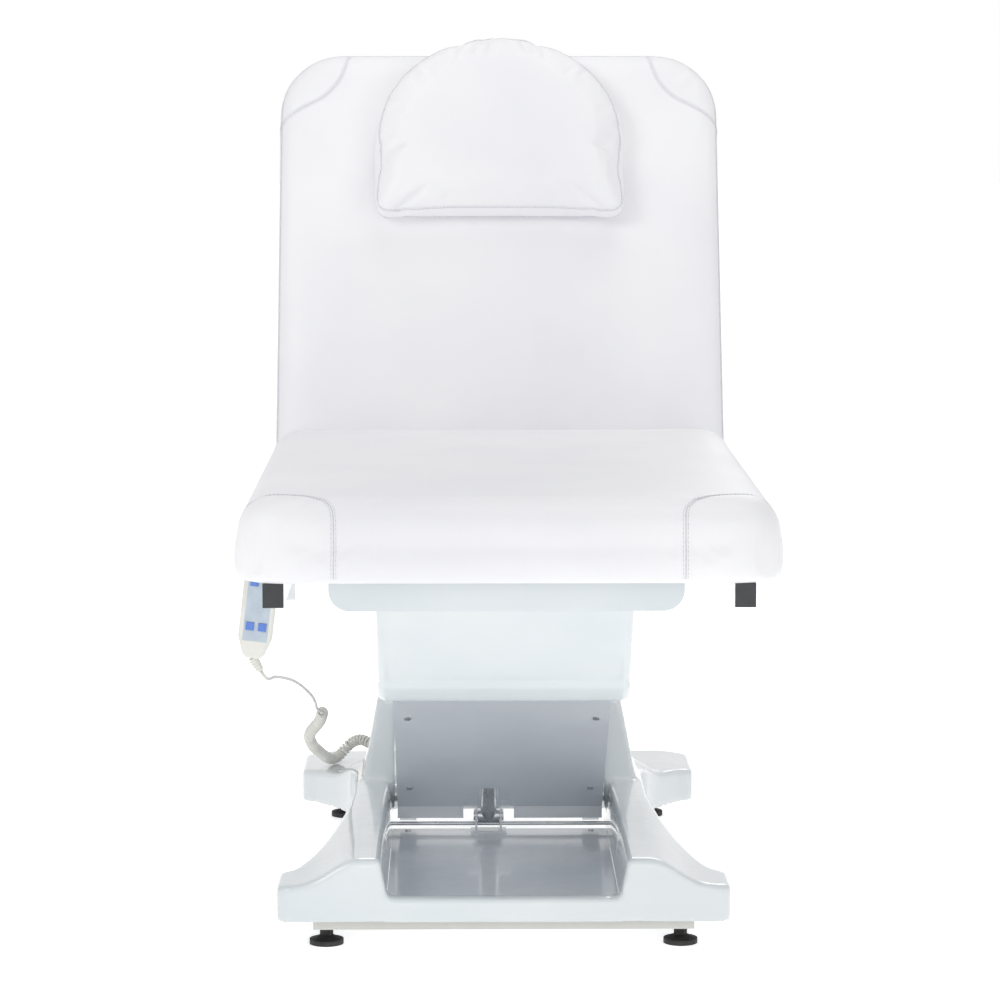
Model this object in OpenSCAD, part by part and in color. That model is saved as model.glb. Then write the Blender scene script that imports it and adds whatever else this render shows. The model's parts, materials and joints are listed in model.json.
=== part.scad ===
// Electric facial treatment bed: a parallel-arm lift on an H-shaped base carries
// a one-piece seat cushion and a reclining backrest with a half-moon pillow.
// X is across the bed, +Y points to the head end, +Z is up, the floor is Z = 0.

/* [Upholstery] */
// Width of the seat and of the backrest
bed_w = 800; // [720:5:840]
// Distance from the middle of the footprint to the foot end of the seat
foot_reach = 891; // [860:1:920]
// Length of the seat cushion
seat_l = 1085; // [1040:5:1088]
// Thickness of the seat cushion
seat_t = 118; // [90:1:130]
// Height of the seat's underside above the floor
seat_z = 693; // [680:1:720]
// Radius of the seat's corners, seen from above
seat_corner_r = 70; // [50:1:110]
// Radius of the seat's long edges
seat_edge_r = 27; // [12:1:28]
// Length of the backrest cushion
back_l = 841; // [780:1:900]
// Thickness of the backrest cushion
back_t = 92; // [78:1:98]
// Radius of the backrest's corners, seen from the front
back_corner_r = 120; // [80:1:160]
// Radius of the backrest's edges
back_edge_r = 24; // [12:1:28]
// Angle of the raised backrest above the seat
back_angle = 67; // [60:1:70]
// Thickness of the plywood boards under the cushions
board_t = 12; // [9:1:15]
// Width of the half-moon pillow
pillow_w = 440; // [400:1:460]
// Height of the half-moon pillow
pillow_h = 346; // [320:1:360]
// Thickness of the half-moon pillow
pillow_t = 72; // [50:1:90]

/* [Base] */
// Width of the base across its feet
base_w = 740; // [700:5:780]
// Distance from the middle of the footprint to the foot end of the base
base_front = 250; // [230:1:280]
// Width of the well between the rails
well_w = 386; // [380:1:392]
// Width across the outsides of the two rails
rails_w = 524; // [510:1:560]
// Length of the front legs along the bed
leg_l = 130; // [110:1:150]
// Length of the rear legs along the bed
rear_leg_l = 185; // [150:1:200]
// Height of the cover's lower edge above the floor
skirt_z = 45; // [42:1:50]
// Height of the legs' top
leg_top = 112; // [105:1:120]
// Height of the rails' top
rail_top = 150; // [140:1:160]
// Height of the front cross rail's top
sill_top = 87; // [80:1:95]
// Wall of the base cover
cover_wall = 4; // [3:0.5:5]
// Diameter of the levelling feet
foot_d = 56; // [45:1:60]

/* [Lift] */
// Distance between the two pivots of each lift arm
arm_l = 600; // [580:1:610]
// Angle of the lift arms above the floor
arm_angle = 35.6; // [33:0.1:38]
// Position of the arm's lower pivot along the bed
arm_y = 430; // [425:1:435]
// Height of the arm's lower pivot
arm_z = 120; // [116:1:124]
// Width of the plate under the arm
arm_w = 366; // [356:1:370]
// Radius of the lift's pivot shafts
shaft_r = 12; // [10:0.5:13]
// Radial clearance of a running fit
fit = 0.05; // [0.02:0.01:0.08]
// Depth of the lift shroud, from the pan to its lower edge
shroud_h = 196; // [180:1:200]
// Width of the lift shroud
shroud_w = 406; // [402:1:412]
// Radius of the lift actuator's piston
piston_r = 14; // [10:0.5:15]
// Radius of the lift actuator's outer tube
barrel_r = 20; // [18:0.5:22]
// Sideways place of the lift actuator
actuator_x = -20; // [-24:1:0]

/* [Handset] */
// Width of the handset
handset_w = 52; // [48:1:54]
// Height of the handset
handset_h = 127; // [120:1:135]
// Thickness of the handset
handset_t = 24; // [20:1:28]
// Sideways tilt of the hanging handset
handset_tilt = 6.8; // [0:0.1:8]
// Outer diameter of the curly cord
coil_d = 22; // [20:1:26]
// Diameter of the straight lead
lead_d = 6; // [5:0.5:7]

/* [Hidden] */
$fn = 48;
hull_fn = 28;

WHITE = "#f2f3f7";
GLOSS = "#e9eef2";
STEEL = "#b9bcc0";
BLACK = "#17181a";
CREAM = "#e8e6da";
PALE = "#c9d2da";
BLUE = "#3f6fd0";
PLY = "#c8a878";

// Clearance between a fixed piece and the piece it seats on
seat_gap = 0.3;

// --- Seat frame -------------------------------------------------------
seat_front = -foot_reach;
seat_back = seat_front + seat_l;
seat_top = seat_z + seat_t;
tube_w = 30;
tube_h = 35;
tube_wall = 2;
frame_z = seat_z - tube_h;
side_x = 337;
side_front = seat_front + 29;
side_back = seat_back - 4;
cap_t = 3;

// --- Base -------------------------------------------------------------
inlet_lip = 2;
base_back = foot_reach - inlet_lip;
well_back = 640;
sill_l = 35;
beam_h = 25;
beam_z = 33;
beam_w = 60;
beam_x = 310;
front_beam_y = -base_front + 45;
mid_beam_y = 385;
rear_beam_y = base_back - 81;
mid_beam_w = 40;
rail_tube_w = 45;
rail_tube_h = 40;
upright_t = 8;
upright_x = well_w / 2 + cover_wall + 0.5;
rail_tube_x = upright_x + upright_t;
beam_top = beam_z + beam_h;
foot_x = 290;
foot_ys = [front_beam_y + 15, rear_beam_y];
stem_r = 6;
foot_h = 14;
neck_r = 11;
nut_h = 8;
tray_t = 2;
tray_back = 410;
leg_corner_r = 22;
front_waist_l = 480;
rear_waist_l = 200;
hump_r = 50;
hump_out = 250;
hump_foot = 120;

// --- Parallel arms ----------------------------------------------------
link_dy = 90;
link_dz = 115;
link_y = arm_y + link_dy;
link_z = arm_z + link_dz;
top_arm_y = arm_y - arm_l * cos(arm_angle);
top_arm_z = arm_z + arm_l * sin(arm_angle);
top_link_y = top_arm_y + link_dy;
top_link_z = top_arm_z + link_dz;
bush_wall = 4;
bush_r = shaft_r + bush_wall;
hub_r = 28;
hub_x = arm_w / 2;
hub_in = 110;
arm_tube_in = 150;
arm_tube_out = 180;
arm_tube_wall = 3;
arm_low = 42;
arm_high = 18;
plate_t = 2;
plate_low = 46.6;
plate_start = 52;
plate_end = 560;
plate_side = 30;
flange_l = 22;
notch_w = 90;
notch_end = 82;
notch_r = 12;
rod_slot_half = piston_r + 3;
rod_slot_end = 132;
plate_screw_s = [135, 425];
plate_screw_x = 160;
link_x = 160;
link_t = 12;
link_half = 20;
ear_t = 8;
ear_x = hub_x + 2;
ear_r = 30;
head_t = 6;
head_r = 18;

// --- Lift actuator ----------------------------------------------------
clevis_y = mid_beam_y;
clevis_z = 90;
clevis_t = 4;
clevis_in = 20;
clevis_half = 16;
top_y = top_arm_y - 25;
top_z = top_arm_z + 150;
act_dy = top_y - clevis_y;
act_dz = top_z - clevis_z;
act_l = sqrt(act_dy * act_dy + act_dz * act_dz);
act_angle = atan2(act_dz, -act_dy);
pin_r = 8;
open_r = 20;
barrel_start = 270;
barrel_end = act_l - 85;
gear_l = 40;
gear_half = 26;
motor_r = 26;
motor_x = 58;
motor_l = 150;

// --- Backrest ---------------------------------------------------------
pivot_y = seat_back + 133;
pivot_z = seat_z + 13;
back_top = seat_top;
back_low = back_top - back_t;
back_start = pivot_y - 62;
back_end = back_start + back_l;
back_tube = 25;
back_tube_z = back_low - back_tube;
back_rail_x = 311;
back_rail_end = back_end - 110;
back_bar_ys = [pivot_y - 12, pivot_y + 350, back_rail_end - back_tube];
hinge_pin_r = 6;
hinge_t = 6;
hinge_x = side_x - tube_w / 2 + 3;
hinge_r = 12;
hinge_low = frame_z - 43;
hinge_bar = 30;
board_inset = 28;

// --- Backrest actuator ------------------------------------------------
back_act_x = 110;
back_act_z = seat_z - 62.5;
lug_flat_y = -50.3;
lug_flat_z = -74.6;
lug_y = pivot_y + lug_flat_y * cos(back_angle) - lug_flat_z * sin(back_angle);
lug_t = 12;
lug_r = 30;
lug_hole = 20;
rear_pin_y = -250;
back_barrel_r = 18;
back_piston_r = 10;
back_barrel_end = 130;
fork_t = 7;
fork_r = 15;
fork_l = 46;

// Middles of the seat frame's cross tubes
cross_ys = [seat_front + 301, rear_pin_y, top_y, seat_back - 45];

// --- Pan and shroud ---------------------------------------------------
pan_w = 540;
pan_front = -560;
pan_back = 230;
pan_z = frame_z - 52;
pan_wall = 3;
pan_corner = 32;
shroud_wall = 3;
shroud_z = pan_z - shroud_h;
shroud_top_y = -430;
shroud_low_y = -250;
shroud_back = 130;

// --- Pillow -----------------------------------------------------------
pillow_start = back_start + 500;
pillow_shoulder = 150;
pillow_edge_r = 26;
pillow_lift = 0.4;

// --- Handset ----------------------------------------------------------
handset_x = -372;
handset_y = -520;
handset_top = frame_z - 3;
face_t = 1;
face_w = 38;
face_l = 98;
button_w = 12;
button_t = 3;
button_dx = 9.5;
button_rows = [-9, -77];
relief_l = 24;
hook_t = 3;
hook_z = frame_z - 16;

// Route of the straight lead, from the handset to the curly cord
lead_points = [
    [-375, -514.7, 507.4], [-371, -513, 500], [-366, -500, 492.5], [-364, -460, 486], [-360, -380, 475],
    [-353, -290, 458],
    [-344, -180, 435], [-336, -70, 408], [-330, 40, 379], [-325, 130, 353], [-323, 210, 328],
    [-322, 270, 305], [-314.4, 296.8, 296.4]
];
// Middle line of the curly cord, from the lead to its socket
coil_points = [
    [-314, 298, 296], [-318, 350, 277], [-325, 400, 257], [-335, 450, 238], [-343, 500, 222],
    [-348, 545, 204], [-348, 580, 190], [-344, 620, 171], [-336, 660, 154], [-326, 700, 137],
    [-316, 735, 125], [-303, 757, 125], [-290, 768, 137], [-277, 764, 150], [-262, 752, 158],
    [-248, 738, 157], [-234, 725, 149], [-229, 720, 135], [-229, 720, 115.5]
];
socket_at = [-229, 720, leg_top];

// === Shared shapes ====================================================

// A bar along X between two X values, round, at a place in the YZ plane
module bar_x(x0, x1, y, z, r) {
    translate([x0, y, z]) rotate([0, 90, 0]) cylinder(r = r, h = x1 - x0);
}

// The same bar on both sides of the middle
module bars_x(x0, x1, y, z, r) {
    bar_x(x0, x1, y, z, r);
    bar_x(-x1, -x0, y, z, r);
}

// A plate in the YZ plane, from x0 to x1
module plate_x(x0, x1) {
    translate([x0, 0, 0]) rotate([90, 0, 90]) linear_extrude(x1 - x0) children();
}

// The same plate on both sides of the middle
module plates_x(x0, x1) {
    plate_x(x0, x1) children();
    plate_x(-x1, -x0) children();
}

// A box that is centred on X
module box_x(w, y0, y1, z0, z1) {
    translate([-w / 2, y0, z0]) cube([w, y1 - y0, z1 - z0]);
}

// A pad with round corners and round edges, its underside at Z = 0
module pad(w, l, t, front_r, back_r, edge_r) {
    hull() {
        for (side = [-1, 1]) {
            for (z = [edge_r, t - edge_r]) {
                translate([side * (w / 2 - front_r), front_r, z]) ring(front_r, edge_r);
                translate([side * (w / 2 - back_r), l - back_r, z]) ring(back_r, edge_r);
            }
        }
    }
}

// A round bead of radius edge_r whose outside has radius r
module ring(r, edge_r) {
    rotate_extrude($fn = hull_fn) intersection() {
        translate([r - edge_r, 0]) circle(r = edge_r, $fn = 16);
        translate([0, -edge_r]) square([r, 2 * edge_r]);
    }
}

// Arc of points about a centre
function arc(cx, cy, r, a0, a1, n) =
    [for (i = [0 : n]) [cx + r * cos(a0 + (a1 - a0) * i / n), cy + r * sin(a0 + (a1 - a0) * i / n)]];

function mirrored(points) = [for (i = [len(points) - 1 : -1 : 0]) [-points[i][0], points[i][1]]];

// Plan of the base inside its skin, inset by w
function half_plan(w) =
    let (x = base_w / 2 - w, r = leg_corner_r - w, c = base_w / 2 - leg_corner_r,
         y0 = -base_front, y1 = -base_front + leg_l, y2 = base_back - rear_leg_l, y3 = base_back,
         rail = rails_w / 2 - w)
    concat(
        arc(c, y0 + leg_corner_r, r, -90, 0, 6),
        arc(c, y1 - leg_corner_r, r, 0, 90, 6),
        [for (i = [1 : 10]) [rail + (c - rail) * pow(1 - i / 10, 2), y1 - w + front_waist_l * i / 10]],
        [for (i = [8 : -1 : 1]) [rail + (c - rail) * pow(1 - i / 8, 2), y2 + w - rear_waist_l * i / 8]],
        arc(c, y2 + leg_corner_r, r, -90, 0, 6),
        arc(c, y3 - leg_corner_r, r, 0, 90, 6)
    );

// Closed outline from its right half
module outline(points) {
    polygon(concat(points, mirrored(points)));
}

// Flat board with round corners, its front edge on Y = 0
module board(w, l, r, t) {
    linear_extrude(t) {
        translate([-w / 2 + r, 0]) square([w - 2 * r, l]);
        translate([-w / 2, r]) square([w, l - 2 * r]);
        for (x = [-w / 2 + r, w / 2 - r]) {
            for (y = [r, l - r]) {
                translate([x, y]) circle(r = r);
            }
        }
    }
}

// Frame along a lift arm: Y runs up the arm, Z points below it
module at_arm() {
    translate([0, arm_y, arm_z]) rotate([180 - arm_angle, 0, 0]) children();
}

// The same frame at the upper link's lower pivot
module at_link() {
    translate([0, link_dy, link_dz]) at_arm() children();
}

// Frame along the lift actuator: Y runs up from its clevis
module at_actuator() {
    translate([actuator_x, clevis_y, clevis_z]) rotate([180 - act_angle, 0, 0]) children();
}

// The backrest's parts are drawn flat and raised about the hinge
module raised() {
    translate([0, pivot_y, pivot_z]) rotate([back_angle, 0, 0]) translate([0, -pivot_y, -pivot_z]) children();
}

// Frame of the hanging handset: its top middle at the origin, its face towards -Y
module at_handset() {
    translate([handset_x, handset_y, handset_top]) rotate([0, handset_tilt, 0]) children();
}

// A rod along Y
module rod_y(x, y0, y1, z, r) {
    translate([x, y0, z]) rotate([-90, 0, 0]) cylinder(r = r, h = y1 - y0);
}

// === Base =============================================================

function foot_places() = [for (y = foot_ys) for (x = [-foot_x, foot_x]) [x, y]];

module cross_beams(grow) {
    box_x(2 * (beam_x + grow), front_beam_y - beam_w / 2 - grow, front_beam_y + beam_w / 2 + grow,
          beam_z - grow, beam_top + grow);
    box_x(2 * (beam_x + grow), rear_beam_y - beam_w / 2 - grow, rear_beam_y + beam_w / 2 + grow,
          beam_z - grow, beam_top + grow);
    box_x(2 * (rail_tube_x + rail_tube_w + grow), mid_beam_y - mid_beam_w / 2 - grow,
          mid_beam_y + mid_beam_w / 2 + grow, beam_z - grow, beam_top + grow);
}

module upright_profile() {
    translate([arm_y, arm_z]) circle(r = ear_r);
    translate([link_y, link_z]) circle(r = ear_r);
    polygon([
        [mid_beam_y - mid_beam_w / 2, beam_top], [link_y + 60, beam_top], [link_y + ear_r, link_z],
        [link_y - 24, link_z + 18], [arm_y - 24, arm_z + 18], [mid_beam_y - 5, arm_z - 6]
    ]);
}

module chassis_frame() {
    color(CREAM) difference() {
        union() {
            cross_beams(0);
            for (side = [0, 1]) {
                mirror([side, 0, 0]) {
                    translate([rail_tube_x, front_beam_y - beam_w / 2, beam_top])
                        cube([rail_tube_w, rear_beam_y - front_beam_y + beam_w, rail_tube_h]);
                }
            }
            plates_x(upright_x, upright_x + upright_t) upright_profile();
        }
        for (side = [0, 1]) {
            mirror([side, 0, 0]) {
                translate([rail_tube_x + tube_wall, front_beam_y - beam_w, beam_top + tube_wall])
                    cube([rail_tube_w - 2 * tube_wall, rear_beam_y - front_beam_y + 2 * beam_w,
                          rail_tube_h - 2 * tube_wall]);
            }
        }
        for (place = foot_places()) {
            translate([place[0], place[1], 0]) cylinder(r = stem_r + fit, h = beam_top + 1);
        }
        bar_x(-base_w / 2, base_w / 2, arm_y, arm_z, shaft_r);
        bar_x(-base_w / 2, base_w / 2, link_y, link_z, shaft_r);
        bar_x(-base_w / 2, base_w / 2, rod_at[0], rod_at[1], rod_r);
        tray_screw_shanks();
    }
}

rod_at = [mid_beam_y + 9, clevis_z - 17];
rod_r = 3.5;

module rail_profile(w) {
    outer = rails_w / 2 - w;
    polygon([
        [well_w / 2, leg_top - 2 * cover_wall], [well_w / 2, rail_top - w], [outer - 20, rail_top - w],
        [outer, rail_top - w - 22], [outer, leg_top - 2 * cover_wall]
    ]);
}

module hump_profile(w) {
    translate([link_y, link_z]) circle(r = hump_r - w);
    polygon([
        [link_y - hump_foot + w, rail_top - cover_wall - w], [link_y + hump_foot - w, rail_top - cover_wall - w],
        [link_y + 43 - w, link_z + 25 - w], [link_y - 43 + w, link_z + 25 - w]
    ]);
}

// The base's outside, or its hollow when w is the wall
module base_form(w) {
    translate([0, 0, skirt_z - w]) linear_extrude(leg_top - skirt_z) outline(half_plan(w));
    for (side = [0, 1]) {
        mirror([side, 0, 0]) {
            translate([0, well_back - w, 0]) rotate([90, 0, 0])
                linear_extrude(well_back + base_front - 2 * w) rail_profile(w);
            plate_x(well_w / 2, hump_out - w) hump_profile(w);
        }
    }
}

module well(w) {
    box_x(well_w + 2 * w, -base_front + sill_l - w, well_back + w, 0, rail_top + link_z);
}

module base_cover() {
    color(GLOSS) difference() {
        base_form(0);
        difference() {
            base_form(cover_wall);
            well(cover_wall);
            box_x(well_w + 2 * cover_wall, -base_front, -base_front + sill_l, sill_top - cover_wall, rail_top + 1);
        }
        well(0);
        box_x(well_w, -base_front - 1, -base_front + sill_l + 1, sill_top, rail_top + 1);
        cross_beams(seat_gap);
        bar_x(-well_w, well_w, arm_y, arm_z, head_r + 2);
        bar_x(-well_w, well_w, link_y, link_z, head_r + 2);
        bar_x(-well_w, well_w, rod_at[0], rod_at[1], rod_r + seat_gap);
        translate([socket_at[0], socket_at[1], leg_top - 10]) cylinder(r = socket_r, h = 20);
        inlet_hole();
    }
}

module tray_screw_shanks() {
    for (x = [-165, 165]) {
        for (y = [front_beam_y + 10, mid_beam_y + 8]) {
            translate([x, y, beam_top - 8]) cylinder(r = 2, h = 8 + tray_t);
        }
    }
}

module base_tray() {
    color(GLOSS) difference() {
        box_x(well_w - 2 * seat_gap, -base_front + sill_l + seat_gap, tray_back, beam_top, beam_top + tray_t);
        tray_screw_shanks();
    }
}

module tray_screws() {
    color(STEEL) {
        tray_screw_shanks();
        for (x = [-165, 165]) {
            for (y = [front_beam_y + 10, mid_beam_y + 8]) {
                translate([x, y, beam_top + tray_t]) cylinder(r = 5, h = 2);
            }
        }
    }
}

module hex_nut(r, h, bore) {
    difference() {
        cylinder(r = r, h = h, $fn = 6);
        translate([0, 0, -1]) cylinder(r = bore, h = h + 2);
    }
}

module foot_lock_nuts() {
    color(STEEL) for (place = foot_places()) {
        translate([place[0], place[1], beam_z - nut_h]) hex_nut(neck_r, nut_h, stem_r + fit);
    }
}

// One levelling foot: disc, cone, hexagon and screwed stem
module foot(place) {
    neck_top = beam_z - nut_h - seat_gap;
    color(BLACK) translate([place[0], place[1], 0]) {
        cylinder(r = foot_d / 2, h = foot_h - 6);
        translate([0, 0, foot_h - 6]) cylinder(r1 = foot_d / 2 - 2, r2 = neck_r, h = 6);
        cylinder(r = neck_r, h = neck_top, $fn = 6);
        cylinder(r = stem_r, h = beam_top - 2);
    }
}

module foot_front_left() { foot(foot_places()[0]); }
module foot_front_right() { foot(foot_places()[1]); }
module foot_rear_left() { foot(foot_places()[2]); }
module foot_rear_right() { foot(foot_places()[3]); }

// A pivot shaft between the two uprights, with a head at each end
module upright_shaft(y, z) {
    end = upright_x + upright_t;
    bar_x(-end, end, y, z, shaft_r);
    bars_x(end, end + head_t, y, z, head_r);
}

module arm_pivot_shaft() { color(STEEL) upright_shaft(arm_y, arm_z); }
module link_pivot_shaft() { color(STEEL) upright_shaft(link_y, link_z); }

module actuator_clevis() {
    base_z = beam_top + tray_t;
    color(WHITE) difference() {
        union() {
            translate([actuator_x - clevis_in - 12, clevis_y - 18, base_z])
                cube([2 * clevis_in + 24, 36, clevis_t]);
            for (side = [-1, 1]) {
                x0 = actuator_x + side * (clevis_in + clevis_t / 2) - clevis_t / 2;
                plate_x(x0, x0 + clevis_t) {
                    translate([clevis_y, clevis_z]) circle(r = clevis_half);
                    translate([clevis_y - clevis_half, base_z]) square([2 * clevis_half, clevis_z - base_z]);
                }
            }
        }
        bar_x(actuator_x - 40, actuator_x + 40, clevis_y, clevis_z, pin_r);
        bar_x(actuator_x - 40, actuator_x + 40, rod_at[0], rod_at[1], rod_r + seat_gap);
    }
}

module clevis_pin() {
    end = clevis_in + clevis_t;
    color(STEEL) {
        bar_x(actuator_x - end, actuator_x + end, clevis_y, clevis_z, pin_r);
        bar_x(actuator_x - end - 3, actuator_x - end, clevis_y, clevis_z, pin_r + 2);
        bar_x(actuator_x + end, actuator_x + end + 3, clevis_y, clevis_z, pin_r + 2);
    }
}

module cross_rod() {
    color(STEEL) bar_x(-upright_x - upright_t, upright_x + upright_t, rod_at[0], rod_at[1], rod_r);
}

module control_box() {
    color(BLACK) box_x(220, rear_beam_y - 50, rear_beam_y + 30, beam_top, beam_top + 42);
}

inlet_x = 120;
inlet_z = 80;
inlet_w = 28;
inlet_h = 20;

module inlet_hole() {
    translate([inlet_x - inlet_w / 2, base_back - 30, inlet_z - inlet_h / 2]) cube([inlet_w, 40, inlet_h]);
}

module mains_inlet() {
    color(BLACK) difference() {
        union() {
            translate([inlet_x - inlet_w / 2, base_back - 24, inlet_z - inlet_h / 2]) cube([inlet_w, 24, inlet_h]);
            translate([inlet_x - 24, base_back, inlet_z - 15]) cube([48, inlet_lip, 30]);
        }
        translate([inlet_x - inlet_w / 2 + 2, base_back - 18, inlet_z - inlet_h / 2 + 2])
            cube([inlet_w - 4, 30, inlet_h - 4]);
        for (i = [-1 : 1]) {
            translate([inlet_x + 7 * i - 1, base_back - 21, inlet_z - 2 - 2 * abs(i)]) cube([2, 1, 4]);
        }
    }
}

socket_r = 9;
socket_lip = 3;

module cord_socket() {
    color(BLACK) translate([socket_at[0], socket_at[1], leg_top]) {
        translate([0, 0, -10]) cylinder(r = socket_r, h = 10);
        cylinder(r = socket_r + 4, h = socket_lip);
    }
}

// === Lift arms ========================================================

module lift_arm() {
    color(WHITE) at_arm() difference() {
        union() {
            difference() {
                for (side = [0, 1]) {
                    mirror([side, 0, 0]) translate([arm_tube_in, -24, -arm_high])
                        cube([arm_tube_out - arm_tube_in, arm_l + 48, arm_high + arm_low]);
                }
                for (side = [0, 1]) {
                    mirror([side, 0, 0]) translate([arm_tube_in + arm_tube_wall, -30, -arm_high + arm_tube_wall])
                        cube([arm_tube_out - arm_tube_in - 2 * arm_tube_wall, arm_l + 60,
                              arm_high + arm_low - 2 * arm_tube_wall]);
                }
            }
            bar_x(-hub_x, hub_x, 0, 0, hub_r);
            bars_x(hub_in, hub_x, arm_l, 0, hub_r);
        }
        bar_x(-hub_x - 1, hub_x + 1, 0, 0, bush_r);
        bars_x(hub_in - 1, hub_x + 1, arm_l, 0, bush_r);
        plate_screw_shanks();
    }
}

module plate_screw_shanks() {
    for (x = [-plate_screw_x, plate_screw_x]) {
        for (s = plate_screw_s) {
            translate([x, s, arm_low - 8]) cylinder(r = 2.5, h = plate_low + plate_t - arm_low + 8);
        }
    }
}

module arm_cover_plate() {
    half = arm_w / 2;
    color(WHITE) at_arm() difference() {
        union() {
            translate([-half, plate_start, plate_low]) cube([arm_w, plate_end - plate_start, plate_t]);
            for (x = [-half, half - plate_t]) {
                translate([x, plate_start, plate_low - plate_side])
                    cube([plate_t, plate_end - plate_start, plate_side]);
            }
            translate([-half, plate_start + plate_t, plate_low + 1.5]) rotate([90 + arm_angle, 0, 0])
                cube([arm_w, flange_l, plate_t]);
            for (x = [-plate_screw_x, plate_screw_x]) {
                for (s = plate_screw_s) {
                    translate([x, s, arm_low]) cylinder(r = 8, h = plate_low - arm_low + 0.1);
                }
            }
        }
        translate([actuator_x - notch_w / 2, 0, 0]) {
            cube([notch_w, notch_end - notch_r, arm_l]);
            translate([notch_r, 0, 0]) cube([notch_w - 2 * notch_r, notch_end, arm_l]);
            translate([notch_w / 2 - rod_slot_half, 0, 0]) cube([2 * rod_slot_half, rod_slot_end, arm_l]);
            for (x = [notch_r, notch_w - notch_r]) {
                translate([x, notch_end - notch_r, 0]) cylinder(r = notch_r, h = arm_l);
            }
        }
        plate_screw_shanks();
    }
}

module arm_plate_screws() {
    color(STEEL) at_arm() {
        plate_screw_shanks();
        for (x = [-plate_screw_x, plate_screw_x]) {
            for (s = plate_screw_s) {
                translate([x, s, plate_low + plate_t]) cylinder(r = 5.5, h = 2.5);
            }
        }
    }
}

// One flanged bush on the X axis, its flange reaching from the hub to the ear
module bush(x0, x1, ear) {
    difference() {
        union() {
            bars_x(x0, x1, 0, 0, bush_r);
            bars_x(x1, ear - seat_gap, 0, 0, head_r);
        }
        bars_x(x0 - 1, ear + 1, 0, 0, shaft_r + fit);
    }
}

module arm_bushes() {
    color(STEEL) {
        translate([0, arm_y, arm_z]) bush(arm_tube_in, hub_x, upright_x);
        translate([0, top_arm_y, top_arm_z]) bush(arm_tube_in, hub_x, ear_x);
    }
}

module link_bar(x0) {
    difference() {
        union() {
            bar_x(x0, x0 + link_t, 0, 0, link_half + 4);
            bar_x(x0, x0 + link_t, arm_l, 0, link_half + 4);
            translate([x0, 0, -link_half]) cube([link_t, arm_l, 2 * link_half]);
        }
        bar_x(x0 - 1, x0 + link_t + 1, 0, 0, bush_r);
        bar_x(x0 - 1, x0 + link_t + 1, arm_l, 0, bush_r);
    }
}

module link_left() { color(WHITE) at_link() link_bar(-link_x - link_t); }
module link_right() { color(WHITE) at_link() link_bar(link_x); }

module link_bushes() {
    color(STEEL) {
        translate([0, link_y, link_z]) bush(link_x, link_x + link_t, upright_x);
        translate([0, top_link_y, top_link_z]) bush(link_x, link_x + link_t, ear_x);
    }
}

// === Carriage under the seat ==========================================

module ear_profile() {
    translate([top_arm_y, top_arm_z]) circle(r = ear_r);
    translate([top_link_y, top_link_z]) circle(r = ear_r);
    polygon([
        [top_arm_y - 92, frame_z], [top_link_y + 88, frame_z], [top_link_y + 29, top_link_z - 8],
        [top_arm_y + 24, top_arm_z - 18], [top_arm_y - 30, top_arm_z]
    ]);
}

module carriage_ears() {
    color(WHITE) difference() {
        plates_x(ear_x, ear_x + ear_t) ear_profile();
        bars_x(ear_x - 1, ear_x + ear_t + 1, top_arm_y, top_arm_z, shaft_r);
        bars_x(ear_x - 1, ear_x + ear_t + 1, top_link_y, top_link_z, shaft_r);
    }
}

module carriage_pins() {
    end = ear_x + ear_t;
    color(STEEL) {
        bars_x(arm_tube_in, end, top_arm_y, top_arm_z, shaft_r);
        bars_x(end, end + head_t, top_arm_y, top_arm_z, head_r);
        bars_x(link_x - 2, end, top_link_y, top_link_z, shaft_r);
        bars_x(end, end + head_t, top_link_y, top_link_z, head_r);
    }
}

module shroud_profile(w) {
    polygon([
        [shroud_top_y + w, pan_z + w], [shroud_low_y + w, shroud_z - w],
        [shroud_back + w, shroud_z - w], [shroud_back + w, pan_z + w]
    ]);
}

module lift_shroud() {
    half = shroud_w / 2;
    color(GLOSS) difference() {
        plate_x(-half, half) shroud_profile(0);
        plate_x(-half + shroud_wall, half - shroud_wall) shroud_profile(shroud_wall + 1);
    }
}

module pan_profile(w) {
    r = pan_corner - w;
    x = pan_w / 2 - pan_corner;
    z = pan_z + pan_corner;
    translate([-x, pan_z + w]) square([2 * x, frame_z - pan_z]);
    translate([-x - r, z]) square([2 * (x + r), frame_z - z + w]);
    for (side = [-x, x]) {
        translate([side, z]) circle(r = r);
    }
}

module seat_pan() {
    opening = shroud_w - 2 * shroud_wall;
    color(GLOSS) difference() {
        intersection() {
            translate([0, pan_back, 0]) rotate([90, 0, 0]) linear_extrude(pan_back - pan_front) pan_profile(0);
            box_x(pan_w, pan_front, pan_back, 0, frame_z);
        }
        translate([0, pan_back - pan_wall, 0]) rotate([90, 0, 0])
            linear_extrude(pan_back - pan_front - 2 * pan_wall) pan_profile(pan_wall);
        box_x(opening, shroud_top_y + 2 * shroud_wall, shroud_back, pan_z - 1, pan_z + pan_wall + 1);
        translate([back_act_x - 21, pan_back - 24, pan_z - 1])
            cube([42, 25, back_act_z + back_piston_r + 9 - pan_z + 1]);
    }
}

module side_tube(grow, y0, y1) {
    translate([side_x - tube_w / 2 + grow, y0, frame_z + grow])
        cube([tube_w - 2 * grow, y1 - y0, tube_h - 2 * grow]);
}

module seat_frame() {
    inner = side_x - tube_w / 2;
    color(WHITE) difference() {
        union() {
            for (side = [0, 1]) {
                mirror([side, 0, 0]) side_tube(0, side_front, side_back);
            }
            for (y = cross_ys) {
                box_x(2 * inner, y - tube_w / 2, y + tube_w / 2, frame_z, seat_z);
            }
        }
        for (side = [0, 1]) {
            mirror([side, 0, 0]) side_tube(tube_wall, side_front - 1, side_back + 1);
        }
        for (y = cross_ys) {
            box_x(2 * inner + 2, y - tube_w / 2 + tube_wall, y + tube_w / 2 - tube_wall,
                  frame_z + tube_wall, seat_z - tube_wall);
        }
    }
}

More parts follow.
